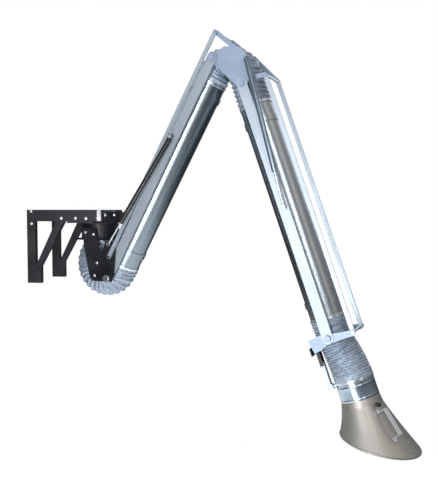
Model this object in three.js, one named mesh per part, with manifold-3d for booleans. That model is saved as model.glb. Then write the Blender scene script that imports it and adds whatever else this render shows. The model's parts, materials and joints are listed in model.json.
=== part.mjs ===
// Wall-mounted fume extraction arm: a black wall bracket with a swivel hub, a lower and an upper
// parallelogram arm around a round duct, flexible hoses at the joints and a conical suction hood.
//
// Millimetres, +Z up. The origin is on the wall, at the middle of the bracket's cross plate, and +X
// points away from the wall. Three nested frames are used:
//   the arm frame      x = outwards from the swivel axis, y = across the arm (far side positive), z = up
//   a member frame     x = along the member from its lower pivot, y = across the arm, z = square to both
//   the wall frame     the group itself
import * as THREE from 'three';
import Module from 'manifold-3d';
import { mergeVertices } from 'three/addons/utils/BufferGeometryUtils.js';

const wasm = await Module();
wasm.setup();

// ---- driving dimensions -------------------------------------------------------------------------
const GAP = 0.4; // clearance kept between neighbouring pieces
const DEG = Math.PI / 180;

// wall bracket
const BEAM_LENGTH = 405;
const BEAM_HEIGHT = 60;
const MEMBER_DEPTH = 30; // width of beams and legs across the arm
const BRACKET_WIDTH = 370; // outside to outside
const LEG_WIDTH = 45;
const LEG_DROP = 381; // from the top of a beam to the foot of a leg
const WALL_PLATE = 8;

// swivel hub
const SWIVEL_X = 336; // distance of the swivel axis from the wall
const HUB_PLATE = 8;
const HOUSING_RADIUS = 130;
const HOUSING_TOP = 18;
const COLLAR_RADIUS = 100;
const COLLAR_FOOT = -128;
const SPIGOT_FOOT = -138;

// duct
const DUCT_RADIUS = 80;
const DUCT_WALL = 2;
const HOSE_RADIUS = 85;
const HOSE_BORE = 81.8;
const HOSE_OVERLAP = 32; // length of hose pushed over a tube end
const NECK_OVERLAP = 11;
const BEND_RADIUS = 90;

// planes of the side pieces, measured from the middle of the arm
const LEVER_PLANE = [103.5, 107.5]; // elbow plates and wrist levers
const RAIL_PLANE = [99, 114];
const RAIL_WEB = 3;
const YOKE_PLANE = [115, 121];
const LOWER_LINK_PLANE = [123, 130];
const UPPER_LINK_PLANE = [92, 102];
const SPRING_PLANE = 143;

// linkage: every point is [out, up] in the arm frame
const SWING = -14.2; // the arm's swing about the swivel axis, degrees
const SHOULDER = [107, -327];
const LOWER_ANGLE = 61.4;
const LOWER_LENGTH = 1240;
const LOWER_OFFSET = [21, 114]; // from a main pivot to its link pivot, lower parallelogram
const ELBOW_SHIFT = [152, -136]; // from the lower arm's end pivot to the upper arm's first pivot
const UPPER_ANGLE = -70.4;
const UPPER_LENGTH = 1260;
const UPPER_OFFSET = [113, 34]; // the same for the upper parallelogram
const RAIL_WIDTH = 50;
const LINK_WIDTH = 20;
const PIN_RADIUS = 6;
const BOLT_RADIUS = 9;

// gas springs: pivot on the yoke or elbow plate, and pivot on the rail as [along, square]
const LOWER_SPRING_PLATE = [27, 180];
const LOWER_SPRING_RAIL = [813, 2];
const UPPER_SPRING_PLATE = [29, 120];
const UPPER_SPRING_RAIL = [623, 9];
const CYLINDER_RADIUS = 12.5;
const ROD_RADIUS = 5;
const STUD_RADIUS = 5;
const EYE_RADIUS = 10;
const EYE_HALF = 5.5;

// tube stretches, along their members
const LOWER_TUBE = [62, 1150];
const UPPER_TUBE = [78, 1195];

// hood, in the upper member's frame counted from the wrist pivot
const NECK = [218, 314];
const NECK_SHIFT = 28; // square offset of the neck from the tube's axis
const NECK_RADIUS = 91;
const SHEET = 2;
const HOOD_RINGS = [
  { at: [131.7, -286.4], radius: 91, tilt: 19.6 },
  { at: [141, -313.5], radius: 97, tilt: 9.8 },
  { at: [227, -482], radius: 188, tilt: -10 },
]; // centres from the wrist pivot, [out, up]
const LIP_RADIUS = 5;
const HANDLE_LENGTH = 130;
const HANDLE_SIDE = -45; // where handle and damper sit around the hood, degrees from its long side
const DAMPER_AT = 350;
const DAMPER_RADIUS = 84;
const LUG_HALF = 9; // half width and end radius of the lug that the wing bolt goes through
const TILT_PIVOT = [243, -84]; // wing bolt, [along, square] from the wrist pivot
const STRIP_PIVOT = [135, -93];

// ---- frames -------------------------------------------------------------------------------------
const direction = (degrees) => [Math.cos(degrees * DEG), Math.sin(degrees * DEG)];
const plus = (a, b, k = 1) => [a[0] + b[0] * k, a[1] + b[1] * k];
const LOWER_END = plus(SHOULDER, direction(LOWER_ANGLE), LOWER_LENGTH);
const ELBOW = plus(LOWER_END, ELBOW_SHIFT);
const WRIST = plus(ELBOW, direction(UPPER_ANGLE), UPPER_LENGTH);

const extractor = new THREE.Group();
const arm = new THREE.Group();
arm.position.set(SWIVEL_X, 0, 0);
arm.rotation.z = SWING * DEG;
extractor.add(arm);

function memberFrame(pivot, degrees) {
  const frame = new THREE.Group();
  frame.position.set(pivot[0], 0, pivot[1]);
  frame.rotation.y = -degrees * DEG;
  arm.add(frame);
  return frame;
}
const lowerMember = memberFrame(SHOULDER, LOWER_ANGLE);
const upperMember = memberFrame(ELBOW, UPPER_ANGLE);
const wristMember = memberFrame(WRIST, UPPER_ANGLE);

// a point of a member frame in the arm frame, both as [out, up]
function fromMember(pivot, degrees, [along, square]) {
  const [c, s] = direction(degrees);
  return [pivot[0] + along * c - square * s, pivot[1] + along * s + square * c];
}

// ---- materials ----------------------------------------------------------------------------------
const finish = (color, roughness, metalness) => () =>
  new THREE.MeshStandardMaterial({ color, roughness, metalness });
const blackPaint = finish(0x17181b, 0.5, 0.2);
const zincSheet = finish(0xa9b6c4, 0.45, 0.7);
const galvanised = finish(0x9aa3ab, 0.22, 0.95);
const hoseGrey = finish(0x76869a, 0.6, 0.4);
const stainless = finish(0x98958e, 0.32, 0.9);
const brightSteel = finish(0xc9ced4, 0.25, 0.9);
const springBlack = finish(0x22252a, 0.25, 0.4);
const knobBlack = finish(0x101012, 0.6, 0);

function piece(parent, name, geometry, material) {
  const mesh = new THREE.Mesh(geometry, material());
  mesh.name = name;
  parent.add(mesh);
  return mesh;
}

// ---- solids -------------------------------------------------------------------------------------
function solidOf(geometry) {
  const bare = geometry.clone();
  bare.deleteAttribute('normal');
  bare.deleteAttribute('uv');
  const merged = mergeVertices(bare, 1e-4);
  return new wasm.Manifold(new wasm.Mesh({
    numProp: 3,
    vertProperties: new Float32Array(merged.attributes.position.array),
    triVerts: new Uint32Array(merged.index.array),
  }));
}

function geometryOf(solid) {
  const mesh = solid.getMesh();
  const geometry = new THREE.BufferGeometry();
  geometry.setAttribute('position', new THREE.BufferAttribute(mesh.vertProperties, 3));
  geometry.setIndex(new THREE.BufferAttribute(mesh.triVerts, 1));
  geometry.computeVertexNormals();
  return geometry;
}

function join(...geometries) {
  return geometryOf(geometries.map(solidOf).reduce((sum, next) => sum.add(next)));
}

function cut(geometry, ...tools) {
  return geometryOf(tools.map(solidOf).reduce((rest, tool) => rest.subtract(tool), solidOf(geometry)));
}

function outline(points) {
  return new THREE.Shape(points.map(([x, y]) => new THREE.Vector2(x, y)));
}

function addRoundHole(shape, [x, y], radius) {
  const hole = new THREE.Path();
  hole.absarc(x, y, radius, 0, 2 * Math.PI, false);
  shape.holes.push(hole);
}

// a flat piece whose outline lies in the out-up plane, from one plane across the arm to another
function sidePlate(shape, from, to, segments = 6) {
  const geometry = new THREE.ExtrudeGeometry(shape, {
    depth: to - from, bevelEnabled: false, curveSegments: segments,
  });
  geometry.rotateX(Math.PI / 2);
  geometry.translate(0, to, 0);
  return geometry;
}

// the same plate on the near side (negative) or the far side (positive) of the arm
function onSide(side, shape, [inner, outer], segments) {
  return side > 0 ? sidePlate(shape, inner, outer, segments) : sidePlate(shape, -outer, -inner, segments);
}

// a straight bar with round ends between two points
function roundedBar(from, to, width, holeRadius, pastEnd = width / 2) {
  const angle = Math.atan2(to[1] - from[1], to[0] - from[0]);
  const half = width / 2;
  const shape = new THREE.Shape();
  const radius = Math.max(half, pastEnd);
  shape.absarc(from[0], from[1], radius, angle + Math.PI / 2, angle + 1.5 * Math.PI, false);
  shape.absarc(to[0], to[1], radius, angle - Math.PI / 2, angle + Math.PI / 2, false);
  if (holeRadius) {
    addRoundHole(shape, from, holeRadius);
    addRoundHole(shape, to, holeRadius);
  }
  return shape;
}

function box(x, y, z) {
  const geometry = new THREE.BoxGeometry(x[1] - x[0], y[1] - y[0], z[1] - z[0]);
  geometry.translate((x[0] + x[1]) / 2, (y[0] + y[1]) / 2, (z[0] + z[1]) / 2);
  return geometry;
}

// a round rod across the arm, centred on [out, up]
function crossRod(radius, from, to, [x, z], sides = 16) {
  const geometry = new THREE.CylinderGeometry(radius, radius, to - from, sides);
  geometry.translate(x, (from + to) / 2, z);
  return geometry;
}

// a round rod along x
function alongRod(radius, from, to, sides = 16) {
  const geometry = new THREE.CylinderGeometry(radius, radius, to - from, sides);
  geometry.rotateZ(-Math.PI / 2);
  geometry.translate((from + to) / 2, 0, 0);
  return geometry;
}

// a straight pipe along x
function pipe(outer, inner, from, to, segments = 16) {
  const shape = new THREE.Shape();
  shape.absarc(0, 0, outer, 0, 2 * Math.PI, false);
  addRoundHole(shape, [0, 0], inner);
  const geometry = new THREE.ExtrudeGeometry(shape, {
    depth: to - from, bevelEnabled: false, curveSegments: segments,
  });
  geometry.rotateY(Math.PI / 2);
  geometry.translate(from, 0, 0);
  return geometry;
}

// a solid of revolution about z from a closed profile of [radius, height] points
function turned(profile, sides = 36) {
  const points = [...profile, profile[0]].map(([r, z]) => new THREE.Vector2(r, z));
  const geometry = new THREE.LatheGeometry(points, sides);
  geometry.rotateX(Math.PI / 2);
  return geometry;
}

const ring = (inner, outer, low, high) =>
  turned([[inner, low], [outer, low], [outer, high], [inner, high]]);

// a route in the out-up plane: a start, a heading and legs of [length, turn], each a line or an arc
class Route extends THREE.Curve {
  constructor(start, heading, legs) {
    super();
    this.start = start;
    this.heading = heading;
    this.legs = legs;
    this.total = legs.reduce((sum, [length]) => sum + length, 0);
  }

  getPoint(t) {
    let left = t * this.total;
    let at = this.start;
    let heading = this.heading;
    for (const [length, turn] of this.legs) {
      const part = Math.min(1, left / length);
      const swept = turn * part;
      const half = (swept / 2) * DEG;
      const chord = length * part * (half ? Math.sin(half) / half : 1);
      at = plus(at, direction(heading + swept / 2), chord);
      heading += swept;
      left -= length * part;
      if (left <= 0) break;
    }
    return new THREE.Vector3(at[0], 0, at[1]);
  }
}

// a bend as one leg of a route
const bend = (radius, turn) => [radius * Math.abs(turn) * DEG, turn];

// a flexible duct along a route
function hose(route, steps, outer = HOSE_RADIUS, inner = HOSE_BORE) {
  const section = new THREE.Shape();
  section.absarc(0, 0, outer, 0, 2 * Math.PI, false);
  addRoundHole(section, [0, 0], inner);
  return new THREE.ExtrudeGeometry(section, {
    steps, bevelEnabled: false, curveSegments: 10, extrudePath: route,
  });
}

// ---- wall bracket -------------------------------------------------------------------------------
function legOutline() {
  const top = -BEAM_HEIGHT / 2 - GAP;
  const foot = BEAM_HEIGHT / 2 - LEG_DROP;
  const notch = foot + 97;
  const braceTop = [156, 202];
  const shape = outline([
    [0, foot], [74, foot], [74, foot + 88], [braceTop[1], top], [braceTop[0], top],
    [LEG_WIDTH + 4, notch], [LEG_WIDTH, notch + 6], [LEG_WIDTH, top], [0, top],
  ]);
  return shape;
}

function addBracket() {
  const outside = BRACKET_WIDTH / 2;
  const inside = outside - MEMBER_DEPTH;
  const half = BEAM_HEIGHT / 2;
  for (const [name, side] of [['near', -1], ['far', 1]]) {
    const across = side < 0 ? [-outside, -inside] : [inside, outside];
    piece(extractor, `beam_${name}`, box([0, BEAM_LENGTH], across, [-half, half]), blackPaint);
    piece(extractor, `leg_${name}`, sidePlate(legOutline(), across[0], across[1]), blackPaint);
  }
  const reach = inside - GAP;
  piece(extractor, 'wall_plate', box([0, WALL_PLATE], [-reach, reach], [-half, half]), blackPaint);
}

// ---- swivel hub ---------------------------------------------------------------------------------
function addHub() {
  const hub = new THREE.Group();
  hub.position.x = SWIVEL_X;
  extractor.add(hub);
  const under = -BEAM_HEIGHT / 2 - GAP;
  const bore = DUCT_RADIUS + GAP;
  const half = BRACKET_WIDTH / 2;
  const shape = outline([
    [-120, -half], [20, -half], [100, -96], [118, -40],
    [118, 40], [100, 96], [20, half], [-120, half],
  ]);
  addRoundHole(shape, [0, 0], bore);
  const settings = { depth: HUB_PLATE, bevelEnabled: false, curveSegments: 18 };
  const plate = new THREE.ExtrudeGeometry(shape, settings);
  plate.translate(0, 0, under - HUB_PLATE);
  piece(hub, 'hub_plate', plate, blackPaint);
  piece(hub, 'swivel_housing', ring(bore, HOUSING_RADIUS, under + GAP, HOUSING_TOP), blackPaint);
  piece(hub, 'duct_spigot', ring(DUCT_RADIUS - DUCT_WALL, DUCT_RADIUS, under - 6, 28), galvanised);
  const ringTop = under - HUB_PLATE - GAP;
  const collarTop = ringTop - 6 - GAP;
  piece(hub, 'thrust_ring', ring(bore, COLLAR_RADIUS - 4, ringTop - 6, ringTop), springBlack);
  const flangeTop = COLLAR_FOOT + 10;
  piece(arm, 'swivel_collar', turned([
    [DUCT_RADIUS - DUCT_WALL, SPIGOT_FOOT], [DUCT_RADIUS, SPIGOT_FOOT], [DUCT_RADIUS, flangeTop + GAP],
    [COLLAR_RADIUS, flangeTop + GAP], [COLLAR_RADIUS, collarTop], [DUCT_RADIUS - DUCT_WALL, collarTop],
  ]), blackPaint);
  const flange = box([-78, 86], [-YOKE_PLANE[0] + GAP, YOKE_PLANE[0] - GAP], [COLLAR_FOOT, flangeTop]);
  const bored = crossRod(bore, COLLAR_FOOT - 5, flangeTop + 5, [0, 0], 36);
  bored.rotateX(Math.PI / 2);
  piece(arm, 'yoke_flange', cut(flange, bored), blackPaint);
}

function yokeOutline() {
  const shape = outline([
    [-36, -66], [44, -66], [54, -114], [76, -199], [105, -137], [169, -131], [152, -312], [138, -342],
    [24, -342], [8, -328], [-26, -166],
  ]);
  addRoundHole(shape, SHOULDER, BOLT_RADIUS + GAP);
  return shape;
}

function addYoke() {
  const linkPivot = plus(SHOULDER, LOWER_OFFSET);
  const springPivot = plus(SHOULDER, LOWER_SPRING_PLATE);
  const linkStud = LOWER_LINK_PLANE[1] + 5;
  for (const [name, side] of [['near', -1], ['far', 1]]) {
    const plate = onSide(side, yokeOutline(), YOKE_PLANE);
    const studs = [crossRod(PIN_RADIUS, ...across(side, YOKE_PLANE[0] + 2, linkStud), linkPivot)];
    if (side < 0) {
      studs.push(springStud(YOKE_PLANE[0] + 2, springPivot, false));
    }
    piece(arm, `yoke_plate_${name}`, join(plate, ...studs), blackPaint);
    const bolt = pivotBolt(side, SHOULDER, RAIL_PLANE[1] - RAIL_WEB - 6, YOKE_PLANE[1]);
    piece(arm, `shoulder_bolt_${name}`, bolt, brightSteel);
  }
}

// a stretch across the arm on one side, as [low, high]
function across(side, inner, outer) {
  return side > 0 ? [inner, outer] : [-outer, -inner];
}

// a pivot bolt on one side: shank between two planes, washer and hexagon head outside, nut inside
function pivotBolt(side, at, inner, outer) {
  const face = outer + GAP;
  return join(
    crossRod(BOLT_RADIUS, ...across(side, inner, face + 2), at, 18),
    crossRod(BOLT_RADIUS + 9, ...across(side, face, face + 3), at, 18),
    crossRod(BOLT_RADIUS + 7, ...across(side, face + 2.5, face + 14), at, 6),
  );
}

// ---- members ------------------------------------------------------------------------------------
// a channel-section rail: full web with round ends, flanges stopping short of both pivots
function railGeometry(side, length) {
  const [inner, outer] = RAIL_PLANE;
  const shape = roundedBar([0, 0], [length, 0], RAIL_WIDTH, BOLT_RADIUS + GAP);
  const web = onSide(side, shape, [outer - RAIL_WEB, outer], 6);
  const clear = 48;
  const half = RAIL_WIDTH / 2;
  const flange = (low, high) =>
    box([clear, length - clear], across(side, inner, outer - 1), [low, high]);
  return join(web, flange(half - 3, half), flange(-half, 3 - half));
}

// a band round the tube with a tab to each rail
function strapGeometry(at) {
  const inner = DUCT_RADIUS + GAP;
  const outer = inner + 4;
  const tab = 15;
  const reach = RAIL_PLANE[1] - RAIL_WEB - GAP;
  const corner = Math.asin(tab / outer);
  const shape = new THREE.Shape();
  shape.moveTo(reach, -tab);
  shape.lineTo(reach, tab);
  shape.absarc(0, 0, outer, corner, Math.PI - corner, false);
  shape.lineTo(-reach, tab);
  shape.lineTo(-reach, -tab);
  shape.absarc(0, 0, outer, Math.PI + corner, 2 * Math.PI - corner, false);
  addRoundHole(shape, [0, 0], inner);
  const settings = { depth: 30, bevelEnabled: false, curveSegments: 16 };
  const geometry = new THREE.ExtrudeGeometry(shape, settings);
  geometry.rotateX(Math.PI / 2);
  geometry.rotateZ(Math.PI / 2);
  geometry.translate(at, 0, 0);
  return geometry;
}

// a gas spring's stud on the near side; a held stud goes through the spring's eye and has a head
function springStud(face, at, held) {
  const reach = SPRING_PLANE + (held ? EYE_HALF + 4 : -EYE_HALF - 2.5);
  const stud = crossRod(STUD_RADIUS, -reach, -face, at);
  return held ? join(stud, crossRod(STUD_RADIUS + 3, -reach, 3 - reach, at)) : stud;
}

function addMember(frame, name, length, tube, straps, stud) {
  const wall = DUCT_RADIUS - DUCT_WALL;
  piece(frame, `${name}_tube`, pipe(DUCT_RADIUS, wall, tube[0], tube[1]), galvanised);
  for (const [sideName, side] of [['near', -1], ['far', 1]]) {
    const rail = railGeometry(side, length);
    const withStud = side < 0 ? join(rail, springStud(RAIL_PLANE[1] - 2, stud.at, stud.held)) : rail;
    piece(frame, `${name}_rail_${sideName}`, withStud, zincSheet);
  }
  piece(frame, `${name}_strap_inner`, strapGeometry(straps[0]), zincSheet);
  piece(frame, `${name}_strap_outer`, strapGeometry(straps[1]), zincSheet);
}

function addMembers() {
  addMember(lowerMember, 'lower', LOWER_LENGTH, LOWER_TUBE, [150, 1040], {
    at: LOWER_SPRING_RAIL, held: true,
  });
  addMember(upperMember, 'upper', UPPER_LENGTH, UPPER_TUBE, [170, 1080], {
    at: UPPER_SPRING_RAIL, held: false,
  });
}

function addLinks() {
  const sets = [
    ['lower', SHOULDER, LOWER_OFFSET, LOWER_ANGLE, LOWER_LENGTH, LOWER_LINK_PLANE],
    ['upper', ELBOW, UPPER_OFFSET, UPPER_ANGLE, UPPER_LENGTH, UPPER_LINK_PLANE],
  ];
  for (const [name, pivot, offset, angle, length, plane] of sets) {
    const from = plus(pivot, offset);
    const to = plus(from, direction(angle), length);
    for (const [sideName, side] of [['near', -1], ['far', 1]]) {
      const shape = roundedBar(from, to, LINK_WIDTH, PIN_RADIUS + GAP, LINK_WIDTH / 2);
      piece(arm, `${name}_link_${sideName}`, onSide(side, shape, plane), zincSheet);
    }
  }
}

// ---- elbow --------------------------------------------------------------------------------------
// kite-shaped plate, with an ear to the lower link's pivot and a strap to the upper link's pivot
function elbowPlateGeometry(side) {
  const [inner, outer] = LEVER_PLANE;
  const at = ([x, z]) => plus(ELBOW, [x, z]);
  const kite = outline([
    [-152, 108], [-8, -26], [16, -20], [30, 4], [34, 60], [40, 120], [14, 146], [-8, 170], [-52, 184],
    [-110, 172], [-168, 150], [-178, 128],
  ].map(at));
  addRoundHole(kite, LOWER_END, BOLT_RADIUS + GAP);
  addRoundHole(kite, ELBOW, BOLT_RADIUS + GAP);
  const lowerLink = plus(LOWER_END, LOWER_OFFSET);
  const upperLink = plus(ELBOW, UPPER_OFFSET);
  const ear = roundedBar(lowerLink, at([-40, 172]), 22, 0);
  const strapFrom = side < 0 ? at([16, 22]) : at([-14, 158]);
  const strap = roundedBar(strapFrom, upperLink, 22, 0);
  const parts = [kite, ear, strap].map((shape) => onSide(side, shape, [inner, outer]));
  if (side < 0) {
    const springPivot = plus(ELBOW, UPPER_SPRING_PLATE);
    parts.push(springStud(inner + 1, springPivot, true));
  }
  const bores = [lowerLink, upperLink].map((p) => crossRod(PIN_RADIUS + GAP, -200, 200, p));
  return cut(join(...parts), ...bores);
}

function addElbow() {
  for (const [name, side] of [['near', -1], ['far', 1]]) {
    piece(arm, `elbow_plate_${name}`, elbowPlateGeometry(side), zincSheet);
    const inner = LEVER_PLANE[0] - 6;
    piece(arm, `elbow_bolt_lower_${name}`, pivotBolt(side, LOWER_END, inner, RAIL_PLANE[1]), brightSteel);
    piece(arm, `elbow_bolt_upper_${name}`, pivotBolt(side, ELBOW, inner, RAIL_PLANE[1]), brightSteel);
    piece(arm, `wrist_bolt_${name}`, pivotBolt(side, WRIST, inner, RAIL_PLANE[1]), brightSteel);
  }
  const lowerReach = LOWER_LINK_PLANE[1] + 6;
  const upperReach = LEVER_PLANE[1] + 5;
  const upperTie = crossRod(PIN_RADIUS, -lowerReach, lowerReach, plus(LOWER_END, LOWER_OFFSET));
  const outerTie = crossRod(PIN_RADIUS, -upperReach, upperReach, plus(ELBOW, UPPER_OFFSET));
  piece(arm, 'elbow_tie_upper', upperTie, brightSteel);
  piece(arm, 'elbow_tie_outer', outerTie, brightSteel);
}

// ---- hoses --------------------------------------------------------------------------------------
// down from the collar, aside and round below the shoulder into the lower tube
function shoulderRoute() {
  const straight = COLLAR_FOOT - GAP - SPIGOT_FOOT;
  const centre = fromMember(SHOULDER, LOWER_ANGLE, [HOSE_OVERLAP, BEND_RADIUS - 1]);
  const around = BEND_RADIUS - 1;
  const drop = centre[1] - SPIGOT_FOOT;
  const aside = (centre[0] ** 2 + drop ** 2 - around ** 2) / (2 * (around - centre[0]));
  const swerve = Math.atan2(-drop, centre[0] + aside) / DEG;
  const end = LOWER_TUBE[0];
  return new Route([0, COLLAR_FOOT - GAP], -90, [
    [straight, 0], bend(aside, -swerve), bend(around, LOWER_ANGLE + 90 + swerve), [end, 0],
  ]);
}

// the elbow's bend is tangent to both tube axes; its two halves meet over the middle of the elbow
function elbowRoutes() {
  const turn = UPPER_ANGLE - LOWER_ANGLE;
  const lowerAxis = direction(LOWER_ANGLE);
  const upperAxis = direction(UPPER_ANGLE);
  const between = plus(ELBOW, SHOULDER, -1);
  const cross = lowerAxis[0] * upperAxis[1] - lowerAxis[1] * upperAxis[0];
  const lowerReach = (between[0] * upperAxis[1] - between[1] * upperAxis[0]) / cross;
  const corner = plus(SHOULDER, lowerAxis, lowerReach);
  const upperReach = (corner[0] - ELBOW[0]) * upperAxis[0] + (corner[1] - ELBOW[1]) * upperAxis[1];
  const tangent = BEND_RADIUS * Math.tan((Math.abs(turn) / 2) * DEG);
  const lowerStart = LOWER_TUBE[1] - HOSE_OVERLAP;
  const upperEnd = UPPER_TUBE[0] + HOSE_OVERLAP;
  const half = bend(BEND_RADIUS, turn / 2);
  const slit = 0.15; // keeps the two halves apart
  const lower = new Route(fromMember(SHOULDER, LOWER_ANGLE, [lowerStart, 0]), LOWER_ANGLE, [
    [lowerReach - tangent - lowerStart, 0], half,
  ]);
  const middle = lower.getPoint(1);
  const heading = LOWER_ANGLE + turn / 2;
  const upperStart = plus([middle.x, middle.z], direction(heading), slit);
  const upper = new Route(upperStart, heading, [half, [upperEnd - upperReach - tangent, 0]]);
  return { lower, upper };
}

// the wrist hose drifts sideways from the tube's axis to the neck's; it is split at its middle
function wristRoutes() {
  const from = UPPER_TUBE[1] - UPPER_LENGTH;
  const lead = 5;
  const run = NECK[0] - from - 2 * lead;
  const lean = (2 * Math.atan(NECK_SHIFT / run)) / DEG;
  const radius = run / 2 / Math.sin(lean * DEG);
  const start = fromMember(WRIST, UPPER_ANGLE, [from - HOSE_OVERLAP, 0]);
  const upper = new Route(start, UPPER_ANGLE, [[HOSE_OVERLAP + lead, 0], bend(radius, lean)]);
  const middle = upper.getPoint(1);
  const next = plus([middle.x, middle.z], direction(UPPER_ANGLE + lean), GAP);
  const lower = new Route(next, UPPER_ANGLE + lean, [bend(radius, -lean), [lead + NECK_OVERLAP, 0]]);
  return { upper, lower };
}

function addHoses() {
  piece(arm, 'shoulder_hose', hose(shoulderRoute(), 26), hoseGrey);
  const elbow = elbowRoutes();
  piece(arm, 'elbow_hose_lower', hose(elbow.lower, 12), hoseGrey);
  piece(arm, 'elbow_hose_upper', hose(elbow.upper, 16), hoseGrey);
  const wrist = wristRoutes();
  piece(arm, 'wrist_hose_upper', hose(wrist.upper, 6), hoseGrey);
  // the last half is wider, because it is pushed over the neck
  const lower = hose(wrist.lower, 8, NECK_RADIUS + 5, NECK_RADIUS + 1.8);
  piece(arm, 'wrist_hose_lower', lower, hoseGrey);
}

// ---- wrist --------------------------------------------------------------------------------------
function leverGeometry(side) {
  const at = (p) => plus(WRIST, p);
  const shape = outline([
    [-22, 20], [-94, -22], [-60, -78], [4, -28], [22, -18], [118, 20], [113, 46], [16, 22],
  ].map(at));
  const linkPivot = plus(WRIST, UPPER_OFFSET);
  const eye = onSide(side, roundedBar(linkPivot, plus(linkPivot, [-3, -1]), 26, 0), LEVER_PLANE);
  const plate = onSide(side, shape, LEVER_PLANE);
  return cut(
    join(plate, eye),
    crossRod(PIN_RADIUS + GAP, -200, 200, linkPivot),
    crossRod(BOLT_RADIUS + GAP, -200, 200, WRIST),
  );
}

function addWrist() {
  for (const [name, side] of [['near', -1], ['far', 1]]) {
    piece(arm, `wrist_lever_${name}`, leverGeometry(side), zincSheet);
  }
  const reach = LEVER_PLANE[1] + 5;
  piece(arm, 'wrist_tie', crossRod(PIN_RADIUS, -reach, reach, plus(WRIST, UPPER_OFFSET)), brightSteel);
  addHoodBracket();
}

// a T-shaped plate behind the hose, from lever to lever, and a strip down to the hood's wing bolt
function addHoodBracket() {
  const span = LEVER_PLANE[0] - GAP;
  const back = -104;
  const bar = box([24, 62], [-span, span], [back, back + 5]);
  const tongue = box([60, 128], [-20, 20], [back, back + 5]);
  const rims = (x, y, depth) =>
    [-1, 1].map((side) => box(x, across(side, y[0], y[1]), [back + 1, back + depth]));
  piece(wristMember, 'wrist_cross_bar', join(bar, tongue, ...rims([61, 128], [17, 20], 17)), blackPaint);
  const stripBack = back + 5 + GAP;
  const top = STRIP_PIVOT[0] - 22;
  const plate = box([top, TILT_PIVOT[0] - 6], [-15, 15], [stripBack, stripBack + 3]);
  const ears = [-1, 1].map((side) => {
    const shape = roundedBar([TILT_PIVOT[0] - 12, TILT_PIVOT[1] - 4], TILT_PIVOT, 22, 0);
    return sidePlate(shape, ...across(side, 11, 15));
  });
  const strip = join(plate, ...rims([top, TILT_PIVOT[0] - 14], [12, 15], 19).map((rim) => cut(
    rim, box([top - 1, TILT_PIVOT[0]], [-40, 40], [back, stripBack + 0.5]))), ...ears);
  piece(wristMember, 'hood_strip', cut(strip, crossRod(4 + GAP, -30, 30, TILT_PIVOT)), zincSheet);
}

// ---- hood ---------------------------------------------------------------------------------------
function hoodRingPoint(ringOf, radius, bearing) {
  const [c, s] = direction(ringOf.tilt);
  const out = radius * Math.cos(bearing);
  return new THREE.Vector3(
    WRIST[0] + ringOf.at[0] + out * c, radius * Math.sin(bearing), WRIST[1] + ringOf.at[1] + out * s,
  );
}

// a lathe whose levels are laid onto the hood's tilted rings
function hoodCone() {
  const last = HOOD_RINGS.length - 1;
  const levels = [...HOOD_RINGS.keys()];
  const outside = levels.map((i) => new THREE.Vector2(HOOD_RINGS[i].radius, i));
  const inside = levels.map((i) => new THREE.Vector2(HOOD_RINGS[i].radius - SHEET, i)).reverse();
  const geometry = new THREE.LatheGeometry([...outside, ...inside, outside[0]], 40);
  const position = geometry.attributes.position;
  for (let i = 0; i < position.count; i += 1) {
    const [x, level, z] = [position.getX(i), position.getY(i), position.getZ(i)];
    const ringOf = HOOD_RINGS[Math.min(last, Math.round(level))];
    const placed = hoodRingPoint(ringOf, Math.hypot(x, z), Math.atan2(z, x));
    position.setXYZ(i, placed.x, placed.y, placed.z);
  }
  geometry.deleteAttribute('normal');
  geometry.deleteAttribute('uv');
  return geometry;
}

// a frame on the hood's side: origin between two points of its surface, x down the slope, z outwards
function handleFrame() {
  const bearing = HANDLE_SIDE * DEG;
  const onRing = (ringOf, angle) => hoodRingPoint(ringOf, ringOf.radius, angle);
  const [upperRing, lowerRing] = [HOOD_RINGS[1], HOOD_RINGS[2]];
  const start = onRing(upperRing, bearing);
  const slope = onRing(lowerRing, bearing).sub(start);
  const down = slope.clone().normalize();
  const centre = start.addScaledVector(slope, 0.14).addScaledVector(down, HANDLE_LENGTH / 2);
  const rim = onRing(lowerRing, bearing + 0.02).sub(onRing(lowerRing, bearing - 0.02)).normalize();
  const outward = new THREE.Vector3().crossVectors(down, rim).normalize();
  const side = new THREE.Vector3().crossVectors(outward, down);
  if (outward.dot(new THREE.Vector3(Math.cos(bearing), Math.sin(bearing), 0)) < 0) {
    outward.negate();
    side.negate();
  }
  return new THREE.Matrix4().makeBasis(down, side, outward).setPosition(centre);
}

// a strap bent into a flat D: two feet on the sheet, two legs and a grip
function handleGeometry() {
  const half = HANDLE_LENGTH / 2;
  const height = 55;
  const thick = 4;
  const foot = 14;
  const lift = 1.2;
  const shape = outline([
    [-half - foot, lift], [-half + thick, lift], [-half + thick, height - thick],
    [half - thick, height - thick], [half - thick, lift], [half + foot, lift],
    [half + foot, lift + thick], [half, lift + thick], [half, height],
    [-half, height], [-half, lift + thick], [-half - foot, lift + thick],
  ]);
  return sidePlate(shape, -10, 10);
}

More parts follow.
